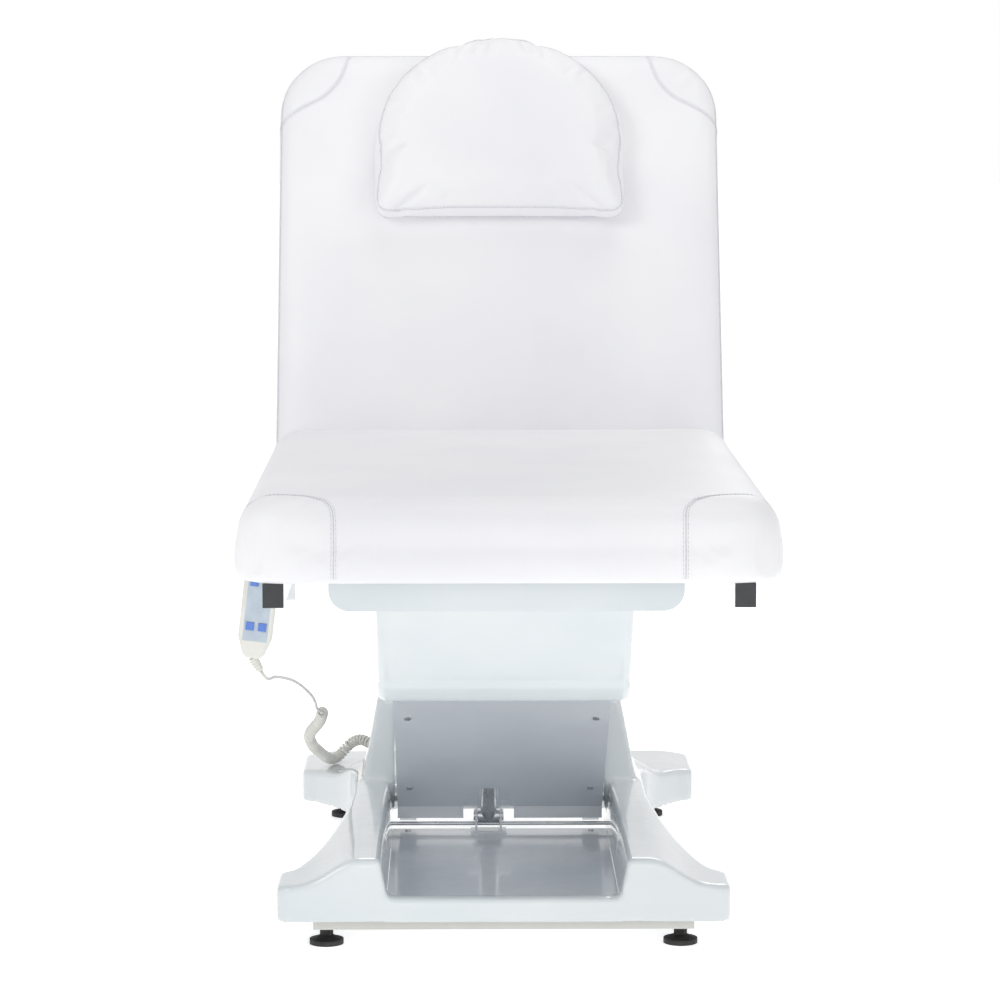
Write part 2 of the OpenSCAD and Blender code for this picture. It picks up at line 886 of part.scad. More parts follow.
module tube_end_caps() {
    color(BLACK) for (side = [0, 1]) {
        mirror([side, 0, 0]) {
            side_tube(0, side_front - cap_t, side_front);
            side_tube(tube_wall, side_front, side_front + 18);
            side_tube(0, side_back, side_back + cap_t);
            side_tube(tube_wall, side_back - 18, side_back);
        }
    }
}

module seat_bolt_shanks() {
    for (x = [-300, 300]) {
        for (y = seat_bolt_ys) {
            translate([x, y, seat_z - 1]) cylinder(r = 3, h = board_t - 2);
        }
    }
}

seat_bolt_ys = [seat_front + 90, (cross_ys[0] + cross_ys[1]) / 2, (cross_ys[1] + cross_ys[2]) / 2];

module seat_board() {
    color(PLY) difference() {
        translate([0, seat_front + board_inset, seat_z])
            board(bed_w - 2 * board_inset, seat_l - 2 * board_inset, seat_corner_r - board_inset, board_t);
        seat_bolt_shanks();
    }
}

module seat_cushion() {
    inset = board_inset - seat_gap;
    color(WHITE) difference() {
        translate([0, seat_front, seat_z]) pad(bed_w, seat_l, seat_t, seat_corner_r, seat_corner_r, seat_edge_r);
        translate([0, seat_front + inset, seat_z - 1])
            board(bed_w - 2 * inset, seat_l - 2 * inset, seat_corner_r - inset, board_t + 1);
    }
}

module seat_bolts() {
    color(STEEL) {
        seat_bolt_shanks();
        for (x = [-300, 300]) {
            for (y = seat_bolt_ys) {
                translate([x, y, seat_z - 7]) cylinder(r = 9, h = 7);
            }
        }
    }
}

// Bracket on the left side tube that the handset's lip hangs over
module handset_hook() {
    outer = -side_x - tube_w / 2;
    y0 = handset_y + handset_t / 2 + seat_gap;
    color(STEEL) translate([outer - 40, y0, hook_z - 26]) cube([70, hook_t, 26]);
    color(STEEL) translate([outer + 2, y0, hook_z]) cube([28, hook_t, frame_z - hook_z]);
}

// A plate that hangs from the seat frame, in the YZ plane
module hung_plate(y, z, r) {
    translate([y, z]) circle(r = r);
    translate([y - r, z]) square([2 * r, frame_z - z]);
}

module actuator_brackets() {
    color(WHITE) {
        difference() {
            for (side = [-1, 1]) {
                x0 = actuator_x + side * 20 - 3;
                plate_x(x0, x0 + 6) hung_plate(top_y, top_z, 30);
            }
            bar_x(actuator_x - 40, actuator_x + 40, top_y, top_z, open_r);
        }
        difference() {
            for (side = [-1, 1]) {
                x0 = back_act_x + side * 16 - 3;
                plate_x(x0, x0 + 6) hung_plate(rear_pin_y, back_act_z, 16);
            }
            bar_x(back_act_x - 40, back_act_x + 40, rear_pin_y, back_act_z, pin_r);
        }
    }
}

module hinge_arms() {
    color(WHITE) difference() {
        plates_x(hinge_x, hinge_x + hinge_t) {
            translate([pivot_y, pivot_z]) circle(r = hinge_r);
            translate([pivot_y - 10, hinge_low]) square([10 + hinge_r, pivot_z - hinge_low]);
            translate([side_back - 90, hinge_low]) square([pivot_y + hinge_r - side_back + 90, hinge_bar]);
            translate([side_back - 90, hinge_low]) square([86, frame_z - hinge_low]);
        }
        bar_x(-bed_w / 2, bed_w / 2, pivot_y, pivot_z, hinge_pin_r);
    }
}

module hinge_pins() {
    color(STEEL) {
        bars_x(back_rail_x - back_tube / 2 - 2, hinge_x + hinge_t, pivot_y, pivot_z, hinge_pin_r);
        bars_x(hinge_x + hinge_t, hinge_x + hinge_t + 4, pivot_y, pivot_z, hinge_pin_r + 3);
    }
}

module back_rear_pin() {
    color(STEEL) bar_x(back_act_x - 22, back_act_x + 22, rear_pin_y, back_act_z, pin_r);
}

// === Lift actuator ====================================================

module lift_rod() {
    color(STEEL) at_actuator() difference() {
        union() {
            bar_x(-clevis_in + 0.5, clevis_in - 0.5, 0, 0, piston_r);
            rod_y(0, 0, barrel_start + 130, 0, piston_r);
        }
        bar_x(-clevis_in, clevis_in, 0, 0, pin_r + fit);
    }
}

module lift_tube() {
    color(BLACK) at_actuator() difference() {
        rod_y(0, barrel_start, barrel_end, 0, barrel_r);
        rod_y(0, barrel_start - 1, barrel_end - 14, 0, piston_r + fit);
    }
}

module lift_motor_unit() {
    color(BLACK) at_actuator() difference() {
        union() {
            translate([-gear_half, barrel_end, -gear_half])
                cube([gear_half + motor_x + motor_r, gear_l, 2 * gear_half]);
            rod_y(motor_x, barrel_end - motor_l, barrel_end, 0, motor_r);
            translate([-14, barrel_end + gear_l, -14]) cube([28, act_l - barrel_end - gear_l, 28]);
            bar_x(-14, 14, act_l, 0, 14);
        }
        bar_x(-15, 15, act_l, 0, pin_r);
    }
}

module lift_top_pin() {
    color(STEEL) at_actuator() bar_x(-28, 28, act_l, 0, pin_r);
}

// === Backrest =========================================================

module back_bolt_shanks() {
    for (x = [-200, 200]) {
        for (y = back_bar_ys) {
            translate([x, y + back_tube / 2, back_tube_z - 1]) cylinder(r = 3, h = back_tube + board_t - 2);
        }
    }
}

module lug_profile() {
    y = pivot_y + lug_flat_y;
    z = pivot_z + lug_flat_z;
    translate([y, z]) circle(r = lug_r);
    polygon([
        [pivot_y - 12, back_tube_z + 2], [pivot_y + 13, back_tube_z + 2], [y + 26, z - 10], [y - 26, z + 10]
    ]);
}

module backrest_frame() {
    inner = back_rail_x - back_tube / 2;
    color(WHITE) raised() difference() {
        union() {
            for (x = [-back_rail_x, back_rail_x]) {
                translate([x - back_tube / 2, pivot_y - 14, back_tube_z])
                    cube([back_tube, back_rail_end - pivot_y + 14, back_tube]);
            }
            for (y = back_bar_ys) {
                box_x(2 * inner, y, y + back_tube, back_tube_z, back_low);
            }
            plate_x(back_act_x - lug_t / 2, back_act_x + lug_t / 2) lug_profile();
        }
        bar_x(-bed_w / 2, bed_w / 2, pivot_y, pivot_z, hinge_pin_r + fit);
        bar_x(0, bed_w / 2, pivot_y + lug_flat_y, pivot_z + lug_flat_z, lug_hole);
        back_bolt_shanks();
    }
}

module backrest_board() {
    color(PLY) raised() difference() {
        translate([0, back_start + board_inset, back_low])
            board(bed_w - 2 * board_inset, back_l - 2 * board_inset, back_corner_r - board_inset, board_t);
        back_bolt_shanks();
    }
}

module backrest_cushion() {
    inset = board_inset - seat_gap;
    color(WHITE) raised() difference() {
        translate([0, back_start, back_low]) pad(bed_w, back_l, back_t, 45, back_corner_r, back_edge_r);
        translate([0, back_start + inset, back_low - 1])
            board(bed_w - 2 * inset, back_l - 2 * inset, back_corner_r - inset, board_t + 1);
    }
}

module backrest_bolts() {
    color(STEEL) raised() {
        back_bolt_shanks();
        for (x = [-200, 200]) {
            for (y = back_bar_ys) {
                translate([x, y + back_tube / 2, back_tube_z - 5]) cylinder(r = 7, h = 5);
            }
        }
    }
}

module back_tube() {
    color(BLACK) difference() {
        rod_y(back_act_x, rear_pin_y + 65, back_barrel_end, back_act_z, back_barrel_r);
        rod_y(back_act_x, rear_pin_y + 105, back_barrel_end + 1, back_act_z, back_piston_r + fit);
    }
}

module back_motor_unit() {
    color(BLACK) difference() {
        union() {
            translate([back_act_x - 19, rear_pin_y + 25, back_act_z - 19]) cube([83, 40, 38]);
            rod_y(back_act_x + 45, rear_pin_y + 65, rear_pin_y + 190, back_act_z, 18);
            translate([back_act_x - 11, rear_pin_y, back_act_z - 13]) cube([22, 25, 26]);
            bar_x(back_act_x - 11, back_act_x + 11, rear_pin_y, back_act_z, 13);
        }
        bar_x(back_act_x - 12, back_act_x + 12, rear_pin_y, back_act_z, pin_r + fit);
    }
}

module back_rod() {
    color(STEEL) difference() {
        union() {
            rod_y(back_act_x, back_barrel_end - 150, lug_y - fork_l, back_act_z, back_piston_r);
            translate([back_act_x - 15, lug_y - fork_l - 14, back_act_z - 15]) cube([30, 14, 30]);
            for (x = [back_act_x - 15, back_act_x + 15 - fork_t]) {
                translate([x, lug_y - fork_l, back_act_z - 15]) cube([fork_t, fork_l, 30]);
                bar_x(x, x + fork_t, lug_y, back_act_z, fork_r);
            }
        }
        bar_x(back_act_x - 20, back_act_x + 20, lug_y, back_act_z, pin_r);
    }
}

module back_fork_pin() {
    color(STEEL) bar_x(back_act_x - 18, back_act_x + 18, lug_y, back_act_z, pin_r);
}

// === Pillow ===========================================================

module pillow() {
    x = pillow_w / 2;
    dome = pillow_h - pillow_shoulder;
    dome_r = (x * x + dome * dome) / (2 * dome);
    color(WHITE) raised() translate([0, pillow_start, back_top + pillow_lift]) hull() {
        for (z = [pillow_edge_r, pillow_t - pillow_edge_r]) {
            for (side = [-1, 1]) {
                translate([side * (x - 30), 30, z]) ring(30, pillow_edge_r);
            }
            translate([0, pillow_h - dome_r, z])
                for (a = [0 : 15 : 180]) {
                    if ((dome_r - 28) * sin(a) + pillow_h - dome_r > pillow_shoulder - 40)
                        rotate([0, 0, a]) translate([dome_r - 28, 0, 0]) ring(28, pillow_edge_r);
                }
        }
    }
}

// === Handset ==========================================================

module handset_body() {
    hull() {
        for (y = [-handset_t / 2 + 5, handset_t / 2 - 5]) {
            for (side = [-1, 1]) {
                translate([side * (handset_w / 2 - 8), y, -8]) rotate([90, 0, 0]) ring(8, 5);
                translate([side * (handset_w / 2 - 12), y, -handset_h + 34]) rotate([90, 0, 0]) ring(12, 5);
                translate([side * 5, y, -handset_h + 14]) rotate([90, 0, 0]) ring(14, 5);
            }
        }
    }
}

module button_slot(side, row, grow) {
    translate([side * button_dx - button_w / 2 - grow, -handset_t / 2 - 4, row - button_w / 2 - grow])
        cube([button_w + 2 * grow, 8, button_w + 2 * grow]);
}

module handset_shell() {
    lip = 5;
    back_y = handset_y + handset_t / 2;
    color(CREAM) difference() {
        union() {
            at_handset() handset_body();
            translate([handset_x - 18, back_y - 4, hook_z + seat_gap])
                cube([16, 4 + seat_gap + hook_t + lip, 4]);
            translate([handset_x - 18, back_y + 2 * seat_gap + hook_t, hook_z - 4])
                cube([16, lip - seat_gap, 8 + seat_gap]);
        }
        at_handset() {
            translate([-face_w / 2, -handset_t / 2 - 1, -2 - face_l]) cube([face_w, face_t + 1, face_l]);
            for (side = [-1, 1]) {
                for (row = button_rows) {
                    button_slot(side, row, 0.3);
                }
            }
        }
    }
}

module handset_face() {
    color(PALE) at_handset() difference() {
        translate([-face_w / 2, -handset_t / 2, -2 - face_l]) cube([face_w, face_t, face_l]);
        for (side = [-1, 1]) {
            for (row = button_rows) {
                button_slot(side, row, 0.3);
            }
        }
    }
}

module handset_strain_relief() {
    color(CREAM) at_handset() translate([0, 0, -handset_h]) rotate([12, -36, 0]) difference() {
        union() {
            translate([0, 0, -relief_l]) cylinder(r1 = lead_d / 2 + 1.5, r2 = 7, h = relief_l);
            for (i = [0 : 3]) {
                translate([0, 0, -relief_l + 3 + 5 * i]) cylinder(r = 6 + 0.6 * i, h = 2);
            }
        }
        translate([-20, -20, 0.5]) cube([40, 40, 20]);
    }
}

module button(side, row) {
    color(BLUE) at_handset()
        translate([side * button_dx - button_w / 2, -handset_t / 2 - 1.5, row - button_w / 2])
            cube([button_w, button_t + 1, button_w]);
}

module button_up() { button(-1, button_rows[0]); }
module button_down() { button(1, button_rows[0]); }
module button_back_up() { button(-1, button_rows[1]); }
module button_back_down() { button(1, button_rows[1]); }

// === Cord =============================================================

// A round tube swept along a list of points
module sweep(points, r, sides) {
    n = len(points);
    rings = [for (i = [0 : n - 1])
        let (before = points[max(i - 1, 0)], after = points[min(i + 1, n - 1)],
             along = after - before, dir = along / norm(along),
             across = cross(dir, [1, 1, 1]), u = across / norm(across), v = cross(u, dir))
        for (k = [0 : sides - 1]) points[i] + r * (cos(360 * k / sides) * u + sin(360 * k / sides) * v)];
    walls = [for (i = [0 : n - 2]) for (k = [0 : sides - 1])
        let (a = i * sides + k, b = i * sides + (k + 1) % sides) [a, b, b + sides, a + sides]];
    start = [for (k = [sides - 1 : -1 : 0]) k];
    finish = [for (k = [0 : sides - 1]) (n - 1) * sides + k];
    polyhedron(rings, concat([start], walls, [finish]));
}

// Points of a smooth curve through the given ones
function smooth(p, steps) =
    let (n = len(p))
    concat([for (i = [0 : n - 2]) for (j = [0 : steps - 1])
        let (t = j / steps, a = p[max(i - 1, 0)], b = p[i], c = p[i + 1], d = p[min(i + 2, n - 1)])
        0.5 * (2 * b + (c - a) * t + (2 * a - 5 * b + 4 * c - d) * t * t + (3 * b - a - 3 * c + d) * t * t * t)],
        [p[n - 1]]);

module handset_lead() { color(CREAM) sweep(smooth(lead_points, 3), lead_d / 2, 8); }
module handset_coil() { color(CREAM) sweep(smooth(coil_points, 2), coil_d / 2, 12); }

chassis_frame();
base_cover();
base_tray();
tray_screws();
foot_lock_nuts();
arm_pivot_shaft();
link_pivot_shaft();
actuator_clevis();
clevis_pin();
cross_rod();
control_box();
mains_inlet();
cord_socket();
foot_front_left();
foot_front_right();
foot_rear_left();
foot_rear_right();
lift_arm();
arm_cover_plate();
arm_plate_screws();
arm_bushes();
link_left();
link_right();
link_bushes();
carriage_ears();
carriage_pins();
lift_shroud();
seat_pan();
seat_frame();
tube_end_caps();
seat_board();
seat_cushion();
seat_bolts();
handset_hook();
actuator_brackets();
hinge_arms();
hinge_pins();
back_rear_pin();
lift_rod();
lift_tube();
lift_motor_unit();
lift_top_pin();
backrest_frame();
backrest_board();
backrest_cushion();
backrest_bolts();
back_tube();
back_motor_unit();
back_rod();
back_fork_pin();
pillow();
handset_shell();
handset_face();
handset_strain_relief();
button_up();
button_down();
button_back_up();
button_back_down();
handset_lead();
handset_coil();
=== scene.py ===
import json
import math
import bmesh
import bpy
from mathutils import Matrix, Vector
from mathutils.bvhtree import BVHTree
from mathutils.kdtree import KDTree


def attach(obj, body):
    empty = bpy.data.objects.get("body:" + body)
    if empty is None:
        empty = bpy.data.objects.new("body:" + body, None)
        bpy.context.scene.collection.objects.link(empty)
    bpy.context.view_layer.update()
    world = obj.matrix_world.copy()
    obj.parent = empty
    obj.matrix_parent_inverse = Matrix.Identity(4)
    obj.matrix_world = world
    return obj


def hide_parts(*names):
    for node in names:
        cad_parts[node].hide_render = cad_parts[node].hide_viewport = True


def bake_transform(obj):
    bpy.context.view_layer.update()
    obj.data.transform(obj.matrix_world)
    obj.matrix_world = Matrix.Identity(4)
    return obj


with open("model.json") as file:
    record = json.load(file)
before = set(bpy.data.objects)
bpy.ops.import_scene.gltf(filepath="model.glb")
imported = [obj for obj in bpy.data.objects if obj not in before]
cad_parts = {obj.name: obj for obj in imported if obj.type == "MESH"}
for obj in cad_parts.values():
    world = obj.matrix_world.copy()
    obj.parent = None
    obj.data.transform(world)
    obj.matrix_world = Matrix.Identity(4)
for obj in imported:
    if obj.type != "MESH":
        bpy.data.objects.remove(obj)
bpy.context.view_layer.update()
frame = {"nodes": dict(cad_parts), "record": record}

scene = bpy.context.scene
V = Vector

# ---------------------------------------------------------------- camera
cam = bpy.data.cameras.new("camera")
cam.lens, cam.sensor_width, cam.sensor_fit = 126, 36, "HORIZONTAL"
cam.clip_start, cam.clip_end = 0.1, 60
cam_ob = bpy.data.objects.new("camera", cam)
cam_ob.location = (-0.070, -5.80, 1.412)
cam_ob.rotation_euler = (math.radians(90 - 6.923), 0, -math.radians(0.655))
scene.collection.objects.link(cam_ob)
scene.camera = cam_ob


def mesh_piece(name, verts, faces, smooth=True):
    me = bpy.data.meshes.new(name)
    me.from_pydata([tuple(v) for v in verts], [], faces)
    me.update()
    ob = bpy.data.objects.new(name, me)
    scene.collection.objects.link(ob)
    if smooth:
        me.shade_smooth()
    return ob


def smooth_line(p, steps):
    """Points of a smooth curve through the given ones."""
    out = []
    p = [V(q) for q in p]
    n = len(p)
    for i in range(n - 1):
        a, b, c, d = p[max(i - 1, 0)], p[i], p[i + 1], p[min(i + 2, n - 1)]
        for j in range(steps):
            t = j / steps
            out.append(0.5 * (2 * b + (c - a) * t + (2 * a - 5 * b + 4 * c - d) * t * t
                              + (3 * b - a - 3 * c + d) * t ** 3))
    return out + [p[-1]]


def even(points, step):
    """The same line with its points a fixed step apart."""
    out, left = [points[0].copy()], step
    for a, b in zip(points, points[1:]):
        d = (b - a).length
        at = 0.0
        while d - at > left:
            at += left
            out.append(a + (b - a) * (at / d))
            left = step
        left -= d - at
    if (out[-1] - points[-1]).length > step * 0.3:
        out.append(points[-1].copy())
    else:
        out[-1] = points[-1].copy()
    return out


def frames(points):
    """Tangent and two normals at each point, turned as little as possible."""
    n = len(points)
    out, u = [], None
    for i in range(n):
        t = (points[min(i + 1, n - 1)] - points[max(i - 1, 0)]).normalized()
        if u is None:
            u = t.orthogonal().normalized()
        u = (u - t * u.dot(t)).normalized()
        out.append((t, u, t.cross(u)))
    return out


def tube_data(points, radius, sides):
    """A tube round a line, capped at both ends."""
    fr = frames(points)
    verts, faces, n = [], [], len(points)
    for i, (p, (t, u, w)) in enumerate(zip(points, fr)):
        verts += [p + radius * (math.cos(math.tau * k / sides) * u + math.sin(math.tau * k / sides) * w)
                  for k in range(sides)]
    for i in range(n - 1):
        for k in range(sides):
            a, b = i * sides + k, i * sides + (k + 1) % sides
            faces.append((a, b, b + sides, a + sides))
    faces.append(tuple(range(sides - 1, -1, -1)))
    faces.append(tuple((n - 1) * sides + k for k in range(sides)))
    return verts, faces


def length_of(points):
    return sum((b - a).length for a, b in zip(points, points[1:]))


# ---------------------------------------------------------------- materials
def linear(hexa):
    rgb = [int(hexa[i:i + 2], 16) / 255 for i in (1, 3, 5)]
    return tuple(c / 12.92 if c <= 0.04045 else ((c + 0.055) / 1.055) ** 2.4 for c in rgb) + (1.0,)


def material(name, low, high, rough=(0.4, 0.5), metal=0.0, patches=6.0, bumps=(), coat=0.0,
             wear=None, sheen=0.0):
    """A procedural finish: two shades mixed by soft noise, roughness that varies with it,
    bump layers (kind, scale per metre, height in metres) and worn edges."""
    m = bpy.data.materials.new(name)
    m.use_nodes = True
    nt = m.node_tree
    nt.nodes.clear()
    add = nt.nodes.new
    link = nt.links.new
    out, bsdf = add("ShaderNodeOutputMaterial"), add("ShaderNodeBsdfPrincipled")
    link(bsdf.outputs[0], out.inputs[0])
    place = add("ShaderNodeTexCoord").outputs["Object"]

    def noise(scale, detail=3.0):
        t = add("ShaderNodeTexNoise")
        t.inputs["Scale"].default_value = scale
        t.inputs["Detail"].default_value = detail
        link(place, t.inputs["Vector"])
        return t.outputs["Fac"]

    def ramp(fac, a, b, lo, hi):
        r = add("ShaderNodeMapRange")
        r.inputs["From Min"].default_value, r.inputs["From Max"].default_value = a, b
        r.inputs["To Min"].default_value, r.inputs["To Max"].default_value = lo, hi
        link(fac, r.inputs["Value"])
        return r.outputs["Result"]

    def mix(fac, a, b):
        x = add("ShaderNodeMix")
        x.data_type = "RGBA"
        link(fac, x.inputs["Factor"])
        for socket, value in ((x.inputs[6], a), (x.inputs[7], b)):
            if isinstance(value, tuple):
                socket.default_value = value
            else:
                link(value, socket)
        return x.outputs[2]

    cloud = noise(patches)
    colour = mix(ramp(cloud, 0.35, 0.65, 0, 1), linear(low), linear(high))
    if wear:
        geo = add("ShaderNodeNewGeometry")
        edge = ramp(geo.outputs["Pointiness"], 0.53, 0.60, 0, wear[1])
        colour = mix(edge, colour, linear(wear[0]))
    link(colour, bsdf.inputs["Base Color"])
    link(ramp(noise(patches * 4), 0.3, 0.7, *rough), bsdf.inputs["Roughness"])
    bsdf.inputs["Metallic"].default_value = metal
    bsdf.inputs["Coat Weight"].default_value = coat
    bsdf.inputs["Coat Roughness"].default_value = 0.06
    bsdf.inputs["Sheen Weight"].default_value = sheen
    before = None
    for kind, scale, height in bumps:
        if kind == "noise":
            fac = noise(scale, 2.0)
        elif kind == "cells":
            t = add("ShaderNodeTexVoronoi")
            t.feature = "F1"
            t.inputs["Scale"].default_value = scale
            link(place, t.inputs["Vector"])
            fac = t.outputs["Distance"]
        else:
            t = add("ShaderNodeTexWave")
            t.inputs["Scale"].default_value = scale
            t.inputs["Distortion"].default_value = 6
            link(place, t.inputs["Vector"])
            fac = t.outputs["Fac"]
        b = add("ShaderNodeBump")
        b.inputs["Strength"].default_value = 1.0
        b.inputs["Distance"].default_value = height
        link(fac, b.inputs["Height"])
        if before:
            link(before, b.inputs["Normal"])
        before = b.outputs["Normal"]
    if before:
        link(before, bsdf.inputs["Normal"])
    return m


# White polyurethane leather: pebbled grain of about 1 mm over soft hand-sized waves
LEATHER = material("pu_leather_white", "#f4f4f8", "#fbfbfd", (0.42, 0.55), patches=3,
                   bumps=(("cells", 900, 0.00012), ("noise", 2200, 0.00006), ("noise", 9, 0.004)), sheen=0.12)
THREAD = material("polyester_thread_white", "#dcdce4", "#ececf2", (0.55, 0.7), patches=200,
                  bumps=(("wave", 1500, 0.0001),))
# Gel-coated glass fibre covers, very smooth with the faintest ripple
SHELL = material("gelcoat_cover", "#dfe6e9", "#e8edef", (0.09, 0.16), patches=3,
                 bumps=(("noise", 14, 0.0012), ("noise", 700, 0.00001)), coat=0.5)
# White powder coat with its orange peel
POWDER = material("powder_coat_white", "#dfe4ea", "#e6ebf0", (0.16, 0.24), patches=8,
                  bumps=(("noise", 450, 0.00005),), coat=0.35, wear=("#cdd0d4", 0.25))
CREAM_STEEL = material("painted_steel_cream", "#efefea", "#f4f4f0", (0.3, 0.42), patches=10,
                       bumps=(("noise", 500, 0.00006),), wear=("#cfcdc6", 0.5))
ZINC = material("zinc_plated_steel", "#b4b7ba", "#c2c4c7", (0.25, 0.36), metal=1.0, patches=25,
                bumps=(("noise", 1600, 0.00001),), wear=("#d8dadb", 0.3))
BLACK = material("black_abs", "#0f1011", "#1b1c1e", (0.35, 0.5), patches=20,
                 bumps=(("noise", 1800, 0.00006),), wear=("#3c3d40", 0.6))
RUBBER = material("black_rubber", "#0c0c0d", "#191919", (0.55, 0.75), patches=30,
                  bumps=(("noise", 900, 0.00012),), wear=("#4a4a4a", 0.4))
BLACK_METAL = material("black_enamel_steel", "#121315", "#1a1b1d", (0.2, 0.3), patches=20,
                       bumps=(("noise", 600, 0.00004),), wear=("#5c5e61", 0.5))
CREAM = material("cream_abs", "#e2e1da", "#ebeae4", (0.3, 0.42), patches=20,
                 bumps=(("noise", 2500, 0.00004),), wear=("#f3f2ec", 0.5))
CORD = material("cream_pvc", "#d9d8d2", "#e5e4de", (0.35, 0.5), patches=40,
                bumps=(("noise", 1500, 0.00004),))
PANEL = material("key_panel_film", "#b9c6d2", "#c6d1da", (0.32, 0.4), patches=50,
                 bumps=(("cells", 2600, 0.00003),))
BLUE = material("blue_keys", "#2f62c4", "#3c72d6", (0.3, 0.4), patches=80,
                bumps=(("noise", 2500, 0.00004),), wear=("#7ba0e6", 0.5))
# The boards' undersides, wrapped in white lining cloth
LINING = material("polyester_lining_white", "#e6e7ea", "#f0f1f3", (0.6, 0.8), patches=14,
                  bumps=(("noise", 900, 0.0001),))

FINISH = {"upholstery": LEATHER, "cover": SHELL, "white_steel": POWDER, "cream_steel": CREAM_STEEL, "zinc": ZINC,
          "black_plastic": BLACK, "black_metal": BLACK_METAL, "black_rubber": RUBBER, "cream_plastic": CREAM,
          "key_panel": PANEL, "blue_keys": BLUE, "plywood": LINING}

for part in frame["record"]["subparts"]:
    ob = frame["nodes"][part["node"]]
    ob.data.materials.clear()
    ob.data.materials.append(FINISH[part["material_slot"]])

# Bevels that the moulded and pressed pieces have, in metres
ROUNDING = {"lift_shroud": 0.0028, "seat_pan": 0.0025, "arm_cover_plate": 0.0008, "tube_end_caps": 0.0012,
            "base_tray": 0.0008, "seat_frame": 0.003, "backrest_frame": 0.002, "chassis_frame": 0.002,
            "lift_arm": 0.003, "carriage_ears": 0.001, "actuator_clevis": 0.0008, "control_box": 0.004,
            "mains_inlet": 0.0008, "button_up": 0.0012, "button_down": 0.0012, "button_back_up": 0.0012,
            "button_back_down": 0.0012, "handset_face": 0.0003, "lift_motor_unit": 0.004, "back_motor_unit": 0.004,
            "foot_front_left": 0.0012, "foot_front_right": 0.0012, "foot_rear_left": 0.0012,
            "foot_rear_right": 0.0012, "link_left": 0.001, "link_right": 0.001, "hinge_arms": 0.0008,
            "handset_strain_relief": 0.0005, "clevis_pin": 0.0008, "arm_plate_screws": 0.0008}
for name, width in ROUNDING.items():
    mod = frame["nodes"][name].modifiers.new("rounding", "BEVEL")
    mod.width, mod.segments, mod.limit_method, mod.angle_limit = width, 3, "ANGLE", math.radians(35)
    mod.harden_normals = False
for ob in frame["nodes"].values():
    mod = ob.modifiers.new("normals", "WEIGHTED_NORMAL")
    mod.keep_sharp = True


def dress(ob, mat, body, slot, *nodes):
    ob.data.materials.clear()
    ob.data.materials.append(mat)
    if body:
        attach(ob, body)
    if nodes:
        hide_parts(*nodes)
    return ob


# ---------------------------------------------------------------- cord
LEAD = [(-375, -514.7, 507.4), (-371, -513, 500), (-366, -500, 492.5), (-364, -460, 486), (-360, -380, 475),
        (-353, -290, 458), (-344, -180, 435), (-336, -70, 408), (-330, 40, 379), (-325, 130, 353),
        (-323, 210, 328), (-322, 270, 305), (-314.4, 296.8, 296.4)]
COIL = [(-314, 298, 296), (-318, 350, 277), (-325, 400, 257), (-335, 450, 238), (-343, 500, 222), (-348, 545, 204),
        (-348, 580, 190), (-344, 620, 171), (-336, 660, 154), (-326, 700, 137), (-316, 735, 125), (-303, 757, 125),
        (-290, 768, 137), (-277, 764, 150), (-262, 752, 158), (-248, 738, 157), (-234, 725, 149), (-229, 720, 135),
        (-229, 720, 115.5)]
WIRE = 0.0050
PITCH = 0.0074
WINDING_RADIUS = 0.0083
lead_line = even(smooth_line([V(p) / 1000 for p in LEAD], 4), 0.008)
coil_axis = even(smooth_line([V(p) / 1000 for p in COIL], 6), 0.004)
coil_len = length_of(coil_axis)
TURNS = int(coil_len / PITCH)
PER_TURN = 14


def along(points, s):
    """Point on a line at distance s, with its frame."""
    for i, (a, b) in enumerate(zip(points, points[1:])):
        d = (b - a).length
        if s <= d or i == len(points) - 2:
            return a + (b - a) * min(s / d, 1), i, min(s / d, 1)
        s -= d


axis_frames = frames(coil_axis)
helix = []
for k in range(TURNS * PER_TURN + 1):
    f = k / (TURNS * PER_TURN)
    p, i, t = along(coil_axis, f * coil_len)
    u = axis_frames[i][1].lerp(axis_frames[i + 1][1], t).normalized()
    w = axis_frames[i][2].lerp(axis_frames[i + 1][2], t).normalized()
    r = WINDING_RADIUS * min(1.0, f * TURNS / 1.5, (1 - f) * TURNS / 1.5)
    a = math.tau * k / PER_TURN
    helix.append(p + r * (math.cos(a) * u + math.sin(a) * w))
helix = helix[::-1]
verts, faces = tube_data(helix, WIRE / 2, 7)
coil = dress(mesh_piece("cord_coil", verts, faces), CORD, None, "cream_plastic", "handset_coil")
lower = lead_line[10:][::-1]
upper = lead_line[:11][::-1]
verts, faces = tube_data(lower, WIRE / 2, 12)
lead_low = dress(mesh_piece("cord_lead_lower", verts, faces), CORD, None, "cream_plastic")
verts, faces = tube_data(upper, WIRE / 2, 12)
lead_up = dress(mesh_piece("cord_lead_upper", verts, faces), CORD, None, "cream_plastic")
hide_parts("handset_lead")
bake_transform(coil)
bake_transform(lead_low)
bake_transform(lead_up)


# ---------------------------------------------------------------- upholstery
def rounded(x0, x1, y0, y1, radii, n=10):
    """Outline of a rectangle with its own radius at each corner, anticlockwise from the front right."""
    out = []
    corners = (((x1, y0), radii[0], -90), ((x1, y1), radii[1], 0),
               ((x0, y1), radii[1], 90), ((x0, y0), radii[0], 180))
    for (x, y), r, a0 in corners:
        cx, cy = x - math.copysign(r, x), y + (r if y == y0 else -r)
        out += [V((cx + r * math.cos(math.radians(a0 + 90 * i / n)),
                   cy + r * math.sin(math.radians(a0 + 90 * i / n)))) for i in range(n + 1)]
    return out


def inset(outline, d):
    n = len(outline)
    out = []
    for i in range(n):
        t = (outline[(i + 1) % n] - outline[i - 1]).normalized()
        out.append(outline[i] + V((-t.y, t.x)) * d)
    return out


